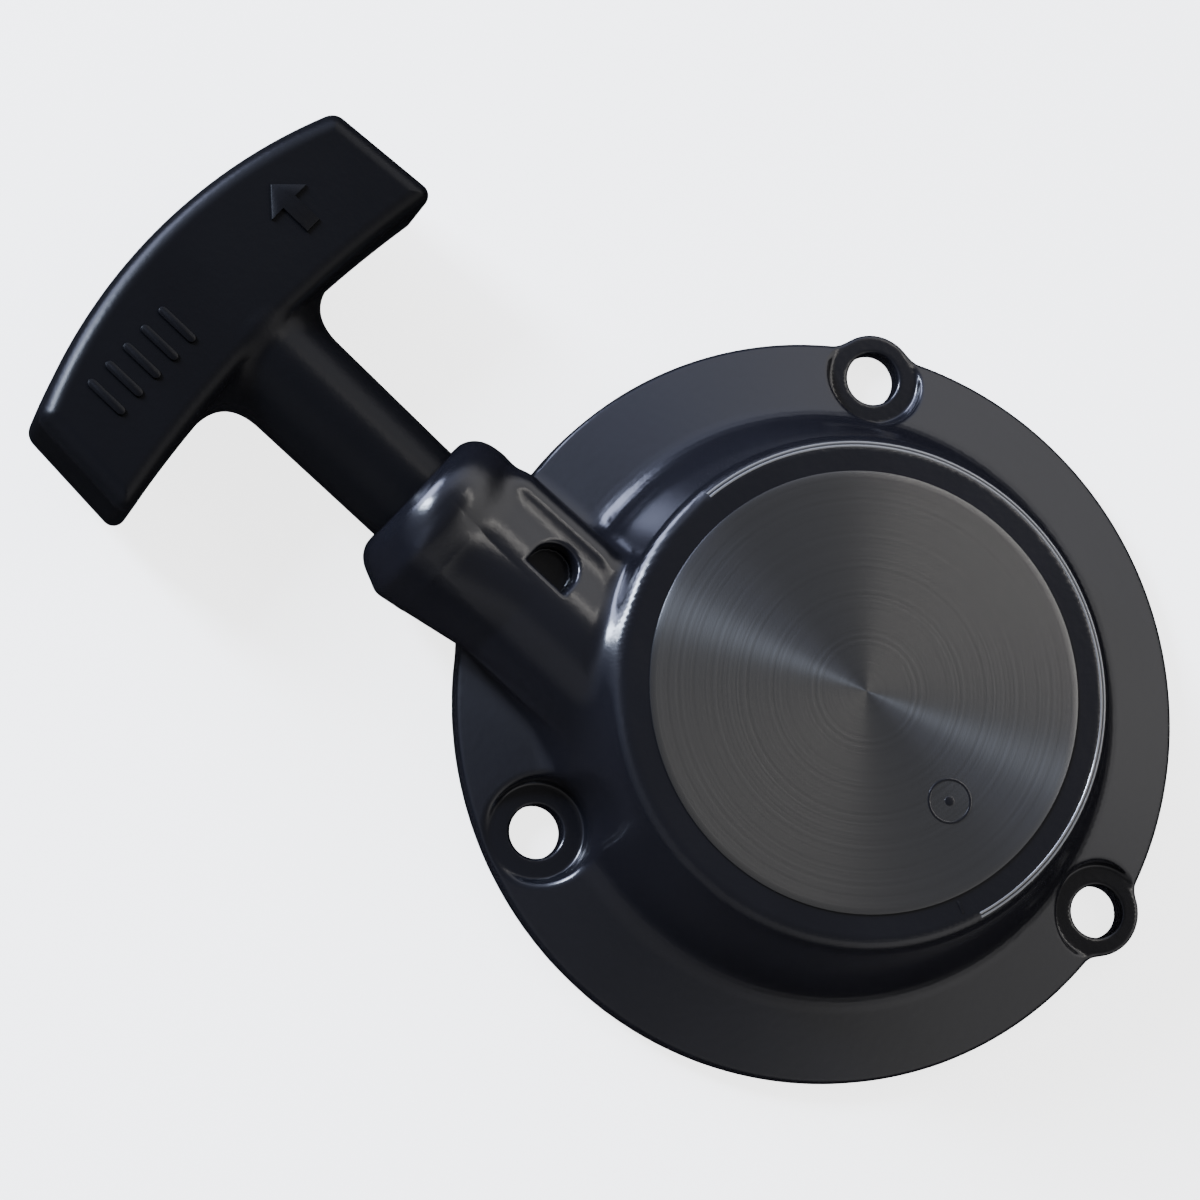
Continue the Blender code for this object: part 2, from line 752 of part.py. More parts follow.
def bar_outline():
    """The handle's bar about the pull line, anticlockwise from above."""
    arc_steps = 12
    arc_centre = CROWN_X - CROWN_ARC_R
    crown = []
    for i in range(arc_steps + 1):
        side = -BAR_TOP_HALF + 2 * BAR_TOP_HALF * i / arc_steps
        crown.append((arc_centre + math.sqrt(CROWN_ARC_R**2 - side**2), side))
    foot_steps = 5
    foot_half = BAR_FOOT_HALF - BAR_CORNER_R
    foot = []
    for i in range(foot_steps + 1):
        side = foot_half * (1 - i / foot_steps)
        foot.append((BAR_WAIST_X - (BAR_WAIST_X - BAR_FOOT_X) * (side / BAR_FOOT_HALF) ** 2, side))
    corners = [(*crown[-2], 0), (*crown[-1], BAR_CORNER_R), (BAR_FOOT_X, BAR_FOOT_HALF, BAR_CORNER_R / 2)]
    half = rounded(corners + [(*foot[0], 0)], steps=3)[1:] + foot[1:]
    return crown[1:-1] + half + [(x, -y) for x, y in reversed(half[:-1])]


def make_stem():
    """The round stem, tapered a little, with a fillet into the bar that is no thicker than the bar."""
    stem = turned(
        "stem_shape",
        rounded(
            [
                (0, BAR_WAIST_X + 6 * MM, 0),
                (STEM_R - 2 * MM, BAR_WAIST_X + 6 * MM, 0),
                (STEM_R, BAR_WAIST_X - 3 * MM, 0),
                (STEM_END_R, STEM_END_X, 0.8 * MM),
                (0, STEM_END_X, 0),
            ],
            steps=2,
        ),
        None,
        32,
        "X",
        (0, ROPE_Y, ROPE_Z),
    )
    flare_r = STEM_R + STEM_ROUND + LAP
    flare = turned(
        "flare_shape",
        rounded(
            [
                (0, BAR_WAIST_X + 3 * MM, 0),
                (flare_r, BAR_WAIST_X + 3 * MM, 0),
                (flare_r, BAR_WAIST_X - 0.4 * MM, 0),
                (STEM_R - 0.1 * MM, BAR_WAIST_X - 0.4 * MM, STEM_ROUND),
                (STEM_R - 0.1 * MM, BAR_WAIST_X - 8 * MM, 0),
                (0, BAR_WAIST_X - 8 * MM, 0),
            ]
        ),
        None,
        32,
        "X",
        (0, ROPE_Y, ROPE_Z),
    )
    thin = BAR_H / 2 - 0.2 * MM
    keep = block(
        "flare_keep",
        (BAR_WAIST_X - 20 * MM, ROPE_Y - 2 * flare_r, ROPE_Z - thin),
        (BAR_WAIST_X + 20 * MM, ROPE_Y + 2 * flare_r, ROPE_Z + thin),
    )
    combine(flare, [keep], "INTERSECT", "EXACT")
    return stem, flare


def make_grip_marks():
    """Raised marks on the bar's upper face: five ribs on one side, an arrow along the pull on the other."""
    low = ROPE_Z + BAR_H / 2 - LAP
    high = ROPE_Z + BAR_H / 2 + RIB_H
    middle = (BAR_WAIST_X + CROWN_X) / 2
    marks = []
    for i in range(5):
        y = ROPE_Y + (8.0 + 3.6 * i) * MM
        marks.append(
            block(f"rib_{i}", (middle - 3.8 * MM, y - 0.7 * MM, low), (middle + 3.0 * MM, y + 0.7 * MM, high))
        )
    arrow = [
        (4.0 * MM, 0),
        (0.4 * MM, 3.6 * MM),
        (0.4 * MM, 1.3 * MM),
        (-4.4 * MM, 1.3 * MM),
        (-4.4 * MM, -1.3 * MM),
        (0.4 * MM, -1.3 * MM),
        (0.4 * MM, -3.6 * MM),
    ]
    marks.append(slab("arrow", [(middle + x, ROPE_Y - 16.0 * MM + y) for x, y in arrow], low, high))
    return marks


def make_handle():
    handle = slab("pull_handle", bar_outline(), -BAR_H / 2, BAR_H / 2, HANDLE_BLACK)
    handle.location = (0, ROPE_Y, ROPE_Z)
    soften(handle, BAR_ROUND, 3, 50)
    stem, flare = make_stem()
    pocket = rod("handle_pocket", KNOT_POCKET_R, KNOT_POCKET_X, CROWN_X + LAP, None, 24, (ROPE_Y, ROPE_Z), "X")
    bore = rod("handle_bore", ROPE_HOLE_R, STEM_END_X - LAP, CROWN_X, None, 16, (ROPE_Y, ROPE_Z), "X")
    join(handle, flare, stem, *make_grip_marks())
    cut(handle, pocket, bore)

    washer_x = KNOT_POCKET_X + GAP
    turned(
        "knot_washer",
        [
            (ROPE_R + FIT, washer_x + WASHER_GRIP),
            (KNOT_POCKET_R - GAP, washer_x + WASHER_GRIP),
            (KNOT_POCKET_R - GAP, washer_x),
            (ROPE_R + FIT, washer_x),
        ],
        STEEL,
        24,
        "X",
        (0, ROPE_Y, ROPE_Z),
    )
    bm = bmesh.new()
    bmesh.ops.create_uvsphere(bm, u_segments=16, v_segments=10, radius=4.2 * MM)
    bmesh.ops.scale(bm, vec=(1.0, 1.0, 0.9), verts=bm.verts)
    knot = from_bmesh("handle_knot", bm, ROPE)
    knot.location = (washer_x + WASHER_GRIP + GAP + 4.2 * MM, ROPE_Y, ROPE_Z)
    smooth(knot, 60)


make_case()
make_case_fittings()
make_recoil_spring()
make_centre_screw()
make_reel()
make_rope()
make_pawls()
make_drag_guide()
make_handle()
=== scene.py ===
"""Recoil starter: the fine model, its materials and the studio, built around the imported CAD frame.

Shapes are written in millimetres about the crank axis, on the mounting plane, and moved to the frame's
own place when they become meshes. The case and the handle are smooth distance fields: their CAD solids
are remeshed finely and every vertex is then drawn onto the field, which gives the moulded fillets.
"""

import json
import math

import bmesh
import bpy
import numpy as np
from mathutils import Matrix, Vector


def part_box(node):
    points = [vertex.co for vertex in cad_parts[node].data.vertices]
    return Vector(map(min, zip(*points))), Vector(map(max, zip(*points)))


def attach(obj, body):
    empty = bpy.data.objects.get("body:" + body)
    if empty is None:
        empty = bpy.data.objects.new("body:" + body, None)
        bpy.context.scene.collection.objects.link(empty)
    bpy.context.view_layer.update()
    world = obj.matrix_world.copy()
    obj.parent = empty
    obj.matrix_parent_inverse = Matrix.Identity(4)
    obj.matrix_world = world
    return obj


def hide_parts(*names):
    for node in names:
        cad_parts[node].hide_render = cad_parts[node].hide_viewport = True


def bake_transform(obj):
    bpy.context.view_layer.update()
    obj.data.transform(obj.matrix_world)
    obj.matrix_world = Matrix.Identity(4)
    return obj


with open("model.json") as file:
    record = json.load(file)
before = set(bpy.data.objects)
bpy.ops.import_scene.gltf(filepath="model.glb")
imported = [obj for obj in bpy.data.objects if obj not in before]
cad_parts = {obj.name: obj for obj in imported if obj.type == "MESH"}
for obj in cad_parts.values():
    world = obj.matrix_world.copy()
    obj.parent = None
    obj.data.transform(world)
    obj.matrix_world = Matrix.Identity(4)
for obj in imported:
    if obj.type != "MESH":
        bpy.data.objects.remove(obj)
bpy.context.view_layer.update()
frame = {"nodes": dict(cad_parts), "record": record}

MM = 0.001
REEL_LOW, REEL_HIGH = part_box("rope_reel")
CRANK = Vector(((REEL_LOW[0] + REEL_HIGH[0]) / 2, (REEL_LOW[1] + REEL_HIGH[1]) / 2, 0.0))

# Case, in mm about the crank axis
DISC_R, DISC_Z = 31.8, 26.6  # the turned face
RING_Z = 26.3  # the dome's top round that face
RIM_R = 55.0
CEILING_Z = 24.1  # inside the dome
CAVITY_R = 52.6  # inside the rim
ROPE_Y, ROPE_Z = 21.5, 13.5  # the line that the rope is pulled along
NECK_R, NECK_FLARE = 10.8, 2.4  # the flare is only on the side away from the dome
COLLAR_R, COLLAR_FROM, COLLAR_TO = 12.75, 57.2, 66
SLEEVE_R, LIP_R, SOCKET_R = 4.28, 6.48, 8.5  # bores for the rope's sleeve, its lip and the handle's stem
POST_R, POST_FOOT_Z, INSERT_R = 6.5, 7.9, 3.48
SPRING_WALL, SPRING_WALL_Z = (22.2, 23.7), 18.2
DRAFT = 0.10
HOLES = (
    {"deg": -57.6, "r": 50.8, "pocket": 7.1, "ear": 6.7},
    {"deg": -172.5, "r": 51.6, "pocket": 7.1, "ear": 6.7},
    {"deg": 65.8, "r": 47.0, "pocket": 7.2, "ear": None},
)
HOLE_R = 3.9
FLOOR_Z = 3.6  # floors of the screw pockets
EDGE_R = 2.6  # round of the dome's upper edge, and its centre as (radius, z)
EDGE_CENTRE = (34.86, RING_Z - EDGE_R)
RECESS_X, RECESS_R, RECESS_Z = 44.5, 3.5, 18.8  # beside the rope outlet

# Handle
CROWN_X = 117.5
WAIST_X = 95.5
BAR_HALF = 9.3
STEM_R = 8.35

# Lamps
KEY_BLUE = (0.70, 0.80, 1.0)
TUBE_WARM = (1.0, 0.96, 0.90)
CEILING = 1.0  # metres


# ---------------------------------------------------------------- camera and studio


def make_camera():
    """The camera that the main view is taken from, placed from the crank axis."""
    right = Vector((-0.7235, -0.6519, 0.2272))
    up = Vector((0.6866, -0.7139, 0.1379))
    back = right.cross(up).normalized()
    up = back.cross(right).normalized()
    right = up.cross(back)
    data = bpy.data.cameras.new("camera")
    data.lens = 120.0
    data.sensor_width = 36.0
    data.clip_start = 0.05
    data.clip_end = 20.0
    camera = bpy.data.objects.new("camera", data)
    turn = Matrix((right, up, back)).transposed().to_4x4()
    camera.matrix_world = Matrix.Translation(CRANK + Vector((77.43, 160.95, 568.1)) * MM) @ turn
    bpy.context.scene.collection.objects.link(camera)
    bpy.context.scene.camera = camera


MIDDLE = Vector((0, 0, 0.013))  # of the object, where the lamps aim


def sky_point(azimuth, elevation):
    """A direction given in the object's own axes, in degrees."""
    a, e = math.radians(azimuth), math.radians(elevation)
    return Vector((math.cos(a) * math.cos(e), math.sin(a) * math.cos(e), math.sin(e)))


def area_light(name, azimuth, elevation, distance, size, power, colour):
    """A soft rectangle, (width, height) in metres, that shines on the object from a point of the sky."""
    data = bpy.data.lights.new(name, "AREA")
    data.shape = "RECTANGLE"
    data.size, data.size_y = size
    data.energy = power
    data.color = colour
    light = bpy.data.objects.new(name, data)
    way = sky_point(azimuth, elevation)
    light.location = MIDDLE + way * distance
    light.rotation_euler = (-way).to_track_quat("-Z", "Y").to_euler()
    bpy.context.scene.collection.objects.link(light)


def tube(name, start, end, width, radiance):
    """A long thin warm lamp overhead, between two points of the ceiling, in metres."""
    start, end = Vector((*start, CEILING)), Vector((*end, CEILING))
    length = (end - start).length
    data = bpy.data.lights.new(name, "AREA")
    data.shape = "RECTANGLE"
    data.size, data.size_y = length, width
    data.energy = radiance * math.pi * length * width
    data.color = TUBE_WARM
    light = bpy.data.objects.new(name, data)
    middle = (start + end) / 2
    along = (end - start).normalized()
    back = (middle - along * middle.dot(along)).normalized()
    turn = Matrix((along, back.cross(along), back)).transposed().to_4x4()
    light.matrix_world = Matrix.Translation(middle + MIDDLE) @ turn
    bpy.context.scene.collection.objects.link(light)


class Sky:
    """The studio's surroundings: soft patches of light, each a smooth step on the angle to a direction."""

    def __init__(self):
        world = bpy.data.worlds.new("studio")
        world.use_nodes = True
        bpy.context.scene.world = world
        self.tree = world.node_tree
        self.shader = self.tree.nodes["Background"]
        self.where = self.tree.nodes.new("ShaderNodeTexCoord")

    def step(self, direction, near, far, low, high):
        """Goes from low to high as the cosine to the direction goes from near to far."""
        cosine = self.tree.nodes.new("ShaderNodeVectorMath")
        cosine.operation = "DOT_PRODUCT"
        cosine.inputs[1].default_value = direction.normalized()
        self.tree.links.new(self.where.outputs["Generated"], cosine.inputs[0])
        node = self.tree.nodes.new("ShaderNodeMapRange")
        node.interpolation_type = "SMOOTHSTEP"
        for key, value in {"From Min": near, "From Max": far, "To Min": low, "To Max": high}.items():
            node.inputs[key].default_value = value
        self.tree.links.new(cosine.outputs["Value"], node.inputs["Value"])
        return node.outputs["Result"]

    def math(self, operation, a, b):
        node = self.tree.nodes.new("ShaderNodeMath")
        node.operation = operation
        for socket, value in zip(node.inputs, (a, b)):
            if isinstance(value, float):
                socket.default_value = value
            else:
                self.tree.links.new(value, socket)
        return node.outputs[0]


def make_studio():
    sky = Sky()
    overhead = Vector((-0.05, -0.05, 1))
    away = Vector((0, -1, 0.1))
    upward = Vector((0, 0, 1))
    # Dim overhead, which keeps level faces black, and bright round it on the far side
    level = sky.step(overhead, 0.62, 0.97, 1.6, 0.24)
    level = sky.math("MULTIPLY", level, sky.step(away, -0.75, 0.05, 0.3, 1.0))
    level = sky.math("MULTIPLY", level, sky.step(away, 0.25, 0.75, 0.7, 1.05))
    # Nothing at the horizon or below it
    level = sky.math("MULTIPLY", level, sky.step(upward, 0.05, 0.5, 0.0, 1.0))
    # A low bright patch past the handle's end
    window = sky.step(sky_point(-7, 13), 0.94, 0.985, 0.0, 18.0)
    window = sky.math("MULTIPLY", window, sky.step(upward, 0.0, 0.1, 0.0, 1.0))
    sky.tree.links.new(sky.math("ADD", level, window), sky.shader.inputs["Strength"])
    tint = sky.tree.nodes.new("ShaderNodeMix")
    tint.data_type = "RGBA"
    tint.inputs[6].default_value = (1.0, 0.99, 1.0, 1)
    tint.inputs[7].default_value = (0.70, 0.78, 1.12, 1)
    sky.tree.links.new(sky.step(Vector((1, 0.1, 0.1)), 0.0, 0.9, 0.0, 1.0), tint.inputs[0])
    sky.tree.links.new(tint.outputs[2], sky.shader.inputs["Color"])
    area_light("key", 7, 32, 0.9, (0.16, 0.28), 14.0, KEY_BLUE)
    tube("tube_near", (-1.0, -0.62), (0.10, -0.62), 0.03, 7.0)
    tube("tube_far", (-0.8, -0.76), (0.10, -0.76), 0.015, 30.0)

    bpy.ops.mesh.primitive_plane_add(size=40.0, location=(0, 0, -0.0002))
    floor = bpy.context.object
    floor.name = "floor"
    paint = Nodes("floor_paint", (0.9, 0.9, 0.9), 0.9)
    paint.set(paint.shader, **{"Emission Color": (1, 1, 1, 1), "Emission Strength": 3.0})
    floor.data.materials.append(paint.material)
    floor.visible_glossy = False


# ---------------------------------------------------------------- materials


class Nodes:
    """A Principled material and a short way to add and link its nodes."""

    def __init__(self, name, colour, roughness, metallic=0.0):
        self.material = bpy.data.materials.new(name)
        self.material.use_nodes = True
        self.tree = self.material.node_tree
        self.shader = self.tree.nodes["Principled BSDF"]
        self.set(self.shader, **{"Base Color": (*colour, 1), "Roughness": roughness, "Metallic": metallic})

    def set(self, node, **values):
        for key, value in values.items():
            node.inputs[key].default_value = value
        return node

    def add(self, kind, **attributes):
        node = self.tree.nodes.new(kind)
        for key, value in attributes.items():
            setattr(node, key, value)
        return node

    def link(self, source, target):
        self.tree.links.new(source, target)

    def noise(self, scale, detail=3.0):
        where = self.add("ShaderNodeTexCoord")
        node = self.set(self.add("ShaderNodeTexNoise"), Scale=scale, Detail=detail)
        self.link(where.outputs["Object"], node.inputs["Vector"])
        return node.outputs["Fac"]

    def ramp(self, source, low, high):
        """Maps 0..1 to low..high."""
        node = self.add("ShaderNodeMapRange")
        self.set(node, **{"To Min": low, "To Max": high})
        self.link(source, node.inputs["Value"])
        return node.outputs["Result"]

    def bump(self, height, distance):
        """A height from 0 to 1 that stands for distance, in metres."""
        node = self.add("ShaderNodeBump")
        self.set(node, Strength=1.0, Distance=distance)
        self.link(height, node.inputs["Height"])
        self.link(node.outputs["Normal"], self.shader.inputs["Normal"])


def mottled(paint, colour, spread, scale):
    """Base colour that drifts a little round its mean."""
    mix = paint.add("ShaderNodeMix", data_type="RGBA")
    mix.inputs[6].default_value = (*[c * (1 - spread) for c in colour], 1)
    mix.inputs[7].default_value = (*[c * (1 + spread) for c in colour], 1)
    paint.link(paint.noise(scale), mix.inputs[0])
    paint.link(mix.outputs[2], paint.shader.inputs["Base Color"])


def plastic(name, colour, low, high, grain):
    """Moulded plastic: uneven gloss and a faint orange-peel skin."""
    paint = Nodes(name, colour, (low + high) / 2)
    mottled(paint, colour, 0.25, 60.0)
    paint.link(paint.ramp(paint.noise(45.0, 4.0), low, high), paint.shader.inputs["Roughness"])
    paint.bump(paint.noise(900.0, 2.0), grain)
    paint.set(paint.shader, IOR=1.5)
    return paint


# ---------------------------------------------------------------- distance fields


def rounded(corners, steps=8):
    """A polyline through (x, y, radius) corners, each turned into an arc of that radius."""
    points = []
    for i, (x, y, radius) in enumerate(corners):
        here = Vector((x, y))
        if not radius or i in (0, len(corners) - 1):
            points.append((x, y))
            continue
        before = (Vector(corners[i - 1][:2]) - here).normalized()
        after = (Vector(corners[i + 1][:2]) - here).normalized()
        half = before.angle(after) / 2
        centre = here + (before + after).normalized() * radius / math.sin(half)
        start = here + before * radius / math.tan(half) - centre
        sweep = start.angle_signed(here + after * radius / math.tan(half) - centre)
        for step in range(steps + 1):
            points.append(tuple(centre + Matrix.Rotation(-sweep * step / steps, 2) @ start))
    return points


class Outline:
    """Signed distance to a closed outline, held on a fine grid and read between its points."""

    def __init__(self, points, margin=6.0, step=0.1):
        loop = np.array(points)
        self.low = loop.min(0) - margin
        self.step = step
        counts = np.ceil((loop.max(0) + margin - self.low) / step).astype(int) + 1
        xs = self.low[0] + step * np.arange(counts[0])
        ys = self.low[1] + step * np.arange(counts[1])
        px, py = np.meshgrid(xs, ys, indexing="ij")
        best = np.full(px.shape, 1e9)
        inside = np.zeros(px.shape, bool)
        for (ax, ay), (bx, by) in zip(loop, np.roll(loop, -1, 0)):
            ex, ey = bx - ax, by - ay
            length = ex * ex + ey * ey
            if length < 1e-12:
                continue
            t = np.clip(((px - ax) * ex + (py - ay) * ey) / length, 0, 1)
            best = np.minimum(best, (px - ax - t * ex) ** 2 + (py - ay - t * ey) ** 2)
            if ay != by:
                crosses = (ay > py) != (by > py)
                inside ^= crosses & (px < ax + (py - ay) * ex / ey)
        self.table = np.where(inside, -1.0, 1.0) * np.sqrt(best)

    def __call__(self, x, y):
        top = np.array(self.table.shape) - 1.001
        u = np.clip((x - self.low[0]) / self.step, 0, top[0])
        v = np.clip((y - self.low[1]) / self.step, 0, top[1])
        i, j = u.astype(int), v.astype(int)
        fu, fv = u - i, v - j
        t = self.table
        low = t[i, j] * (1 - fu) + t[i + 1, j] * fu
        high = t[i, j + 1] * (1 - fu) + t[i + 1, j + 1] * fu
        return low * (1 - fv) + high * fv


def union(a, b, k):
    """Joins two solids with a fillet about k wide."""
    h = np.clip(0.5 + 0.5 * (b - a) / k, 0, 1)
    return b + (a - b) * h - k * h * (1 - h)


def minus(a, b, k):
    """Cuts b out of a and rounds the edge about k wide."""
    return -union(-a, b, k)


def rod(u, v, w, r, low, high, edge):
    """A cylinder of radius r about the w axis, from low to high, with rounded ends."""
    side = np.hypot(u, v) - r + edge
    end = np.maximum(low - w, w - high) + edge
    outside = np.hypot(np.maximum(side, 0), np.maximum(end, 0))
    return outside + np.minimum(np.maximum(side, end), 0) - edge


def prism(flat, w, half, edge):
    """A flat outline's field made into a slab, with rounded edges."""
    side = flat + edge
    end = np.abs(w) - half + edge
    outside = np.hypot(np.maximum(side, 0), np.maximum(end, 0))
    return outside + np.minimum(np.maximum(side, end), 0) - edge


OUTER = Outline(
    rounded(
        [
            (-20, RING_Z, 0),
            (36.9, RING_Z, EDGE_R),
            (41.3, 8.6, 7.5),
            (RIM_R, 3.3, 0.9),
            (RIM_R, 0, 0.4),
            (20, 0, 0),
            (-20, 0, 0),
        ]
    )
)
HOLLOW = Outline(
    rounded(
        [
            (-10, POST_FOOT_Z, 0),
            (POST_R, POST_FOOT_Z, 0.5),
            (POST_R, CEILING_Z, 0.5),
            (SPRING_WALL[0], CEILING_Z, 0.5),
            (SPRING_WALL[0], SPRING_WALL_Z, 0.3),
            (SPRING_WALL[1], SPRING_WALL_Z, 0.3),
            (SPRING_WALL[1], CEILING_Z, 0.5),
            (34.9, CEILING_Z, 1.2),
            (38.9, 6.57, 3.0),
            (CAVITY_R, 1.7, 0.6),
            (CAVITY_R, -3.0, 0),
            (-10, -3.0, 0),
        ]
    )
)


def recess_outline():
    """A D, straight toward the rope and round toward the dome."""
    straight_y, centre_y = ROPE_Y - 2.0, ROPE_Y - 3.8
    outline = [(RECESS_X + RECESS_R, straight_y), (RECESS_X - RECESS_R, straight_y)]
    for i in range(17):
        a = math.pi + math.pi * i / 16
        outline.append((RECESS_X + RECESS_R * math.cos(a), centre_y + RECESS_R * math.sin(a)))
    return outline


RECESS = Outline(recess_outline())
BLOCK = Outline(
    rounded(
        [
            (58.5, 20.0, 0),
            (57.5, 23.0, 0),
            (50.0, 26.6, 4.0),
            (30.0, 26.6, 0),
            (36.5, 8.6, 6.2),
            (58.5, 9.2, 4.0),
            (58.5, 20.0, 0),
        ]
    )[:-1]
)


def case_field(p):
    """The case: dome and skirt, neck, collar and ears, less the inside, the bores and the recess."""
    x, y, z = p[:, 0], p[:, 1], p[:, 2]
    r = np.hypot(x, y)
    about_y, about_z = y - ROPE_Y, z - ROPE_Z
    flare = NECK_R + NECK_FLARE * np.clip((x - 44) / 12, 0, 1) * np.clip(about_y / 8, 0, 1)
    neck = rod(about_y, about_z, x, flare, 20, 60, 0.5)
    taper = DRAFT * np.clip(22.4 - z, 0, 20)
    block = prism(BLOCK(x, y) - taper, z - 12.0, 10.4, 3.2)
    neck = union(neck, block, 2.5)
    collar = rod(about_y, about_z, x, COLLAR_R, COLLAR_FROM, COLLAR_TO, 4.2)
    foot = np.interp(z, (6, 19), (4.8, 3.0))
    out = union(union(OUTER(r, z), neck, foot), collar, 4.0)
    hollow = HOLLOW(r, z)
    for hole in HOLES:
        a = math.radians(hole["deg"])
        hx, hy = x - hole["r"] * math.cos(a), y - hole["r"] * math.sin(a)
        if hole["ear"]:
            out = union(out, rod(hx, hy, z, hole["ear"], 0, 5, 0.7), 1.2)
        hollow = minus(hollow, rod(hx, hy, z, hole["pocket"] + 1.8, -5, 30, 0), 1.0)
    for hole in HOLES:
        a = math.radians(hole["deg"])
        hx, hy = x - hole["r"] * math.cos(a), y - hole["r"] * math.sin(a)
        pocket = hole["pocket"] + DRAFT * np.clip(z - FLOOR_Z, 0, 12)
        out = minus(out, rod(hx, hy, z, pocket, FLOOR_Z, 40, 0.6), 0.7 if hole["ear"] else 1.4)
        out = minus(out, rod(hx, hy, z, HOLE_R, -5, 40, 0), 0.6)
    out = minus(out, hollow, 0.5)
    out = np.maximum(out, -z)
    for radius, start, edge in ((SLEEVE_R, 14, 0.4), (LIP_R, 58.7, 0.3), (SOCKET_R, 60.2, 1.4)):
        out = minus(out, rod(about_y, about_z, x, radius, start, 130, 0), edge)
    out = minus(out, rod(x, y, z, INSERT_R, -5, 21, 0), 0.4)
    return minus(out, np.maximum(RECESS(x, y), RECESS_Z - z), 0.9)


def bar_outline():
    """The handle's bar from above: a bowed crown, rounded corners and a waisted foot."""
    arc_r, top_half, foot_half = 80.0, 31.1, 32.5
    centre = CROWN_X - arc_r
    crown = []
    for i in range(-20, 21):
        side = top_half * i / 20
        crown.append((centre + math.sqrt(arc_r**2 - side**2), side))
    foot = [(WAIST_X - 2.9 * (side / foot_half) ** 2, side) for side in np.linspace(30.0, 0, 20)]
    corners = [(*crown[-2], 0), (*crown[-1], 2.4), (92.6, foot_half, 1.8), (*foot[0], 0)]
    half = rounded(corners)[1:] + foot[1:]
    return crown[1:-1] + half + [(x, -y) for x, y in reversed(half[:-1])]


BAR = Outline(bar_outline())


def handle_field(p):
    """The handle: bar and stem, less the knot's pocket and the rope's hole."""
    x, y, z = p[:, 0], p[:, 1] - ROPE_Y, p[:, 2] - ROPE_Z
    bar = prism(BAR(x, y), z, BAR_HALF, 2.9)
    slim = STEM_R - 0.4 * np.clip((92 - x) / 31, 0, 1)
    stem = rod(y, z, x, slim, 60.8, 99.0, 0.8)
    fillet = np.interp(np.abs(z), (3, 8), (7.0, 1.8))
    out = union(bar, stem, fillet)
    out = minus(out, rod(y, z, x, 5.5, 104, 130, 0), 1.0)
    return minus(out, rod(y, z, x, 2.4, 50, 130, 0), 0.5)


def gradient(field, p, e=0.06):
    """The field's slope at each point, by central differences."""
    slope = np.empty_like(p)
    for axis in range(3):
        step = np.zeros(3)
        step[axis] = e
        slope[:, axis] = field(p + step) - field(p - step)
    return slope / (2 * e)


def moulded(node, field, voxel, paint, body):
    """A fine copy of a CAD node whose surface is drawn onto a distance field."""
    coarse = bpy.data.objects.new("coarse", frame["nodes"][node].data.copy())
    bpy.context.scene.collection.objects.link(coarse)
    remesh = coarse.modifiers.new("voxels", "REMESH")
    remesh.mode = "VOXEL"
    remesh.voxel_size = voxel * MM
    bpy.context.view_layer.update()
    mesh = bpy.data.meshes.new_from_object(coarse.evaluated_get(bpy.context.evaluated_depsgraph_get()))
    bpy.data.objects.remove(coarse)
    count = len(mesh.vertices)
    flat = np.empty(count * 3)
    mesh.vertices.foreach_get("co", flat)
    p = (flat.reshape(-1, 3) - np.array(CRANK)) / MM
    ends = np.empty(len(mesh.edges) * 2, int)
    mesh.edges.foreach_get("vertices", ends)
    a, b = ends[0::2], ends[1::2]
    degree = np.bincount(ends, minlength=count)[:, None]
    for turn in range(7):
        slope = gradient(field, p)
        size = np.maximum((slope**2).sum(1), 0.25)
        p = p - np.clip(field(p) / size, -0.8, 0.8)[:, None] * slope
        if turn < 5:
            mean = np.empty_like(p)
            for axis in range(3):
                near = np.bincount(a, p[b, axis], count) + np.bincount(b, p[a, axis], count)
                mean[:, axis] = near
            mean /= degree
            along = mean - p
            n = slope / np.sqrt(size)[:, None]
            p = p + 0.5 * (along - (along * n).sum(1)[:, None] * n)
    slope = gradient(field, p)
    normals = slope / np.maximum(np.sqrt((slope**2).sum(1)), 1e-6)[:, None]
    mesh.vertices.foreach_set("co", (p * MM + np.array(CRANK)).ravel())
    mesh.shade_smooth()
    mesh.update()
    mesh.normals_split_custom_set_from_vertices([tuple(n) for n in normals])
    mesh.materials.clear()
    mesh.materials.append(paint.material)
    obj = bpy.data.objects.new(f"{node}_moulded", mesh)
    bpy.context.scene.collection.objects.link(obj)
    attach(obj, body)
    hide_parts(node)
    return obj


# ---------------------------------------------------------------- crisp pieces

RECORD = frame["record"]
BODY = {node: body for body, nodes in RECORD["behaviour"]["bodies"].items() for node in nodes}


def place(name, bm, paint, body, node=None, smooth=30):
    """A new piece from a mesh in mm about the crank axis, riding on a body and standing for a node."""
    bmesh.ops.scale(bm, vec=(MM, MM, MM), verts=bm.verts)
    bmesh.ops.translate(bm, vec=CRANK, verts=bm.verts)
    bmesh.ops.recalc_face_normals(bm, faces=bm.faces)
    mesh = bpy.data.meshes.new(name)
    bm.to_mesh(mesh)
    bm.free()
    mesh.shade_smooth()
    mesh.set_sharp_from_angle(angle=math.radians(smooth))
    mesh.materials.append(paint.material)
    obj = bpy.data.objects.new(name, mesh)
    bpy.context.scene.collection.objects.link(obj)
    if node:
        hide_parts(node)
    if body:
        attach(obj, body)
    return obj


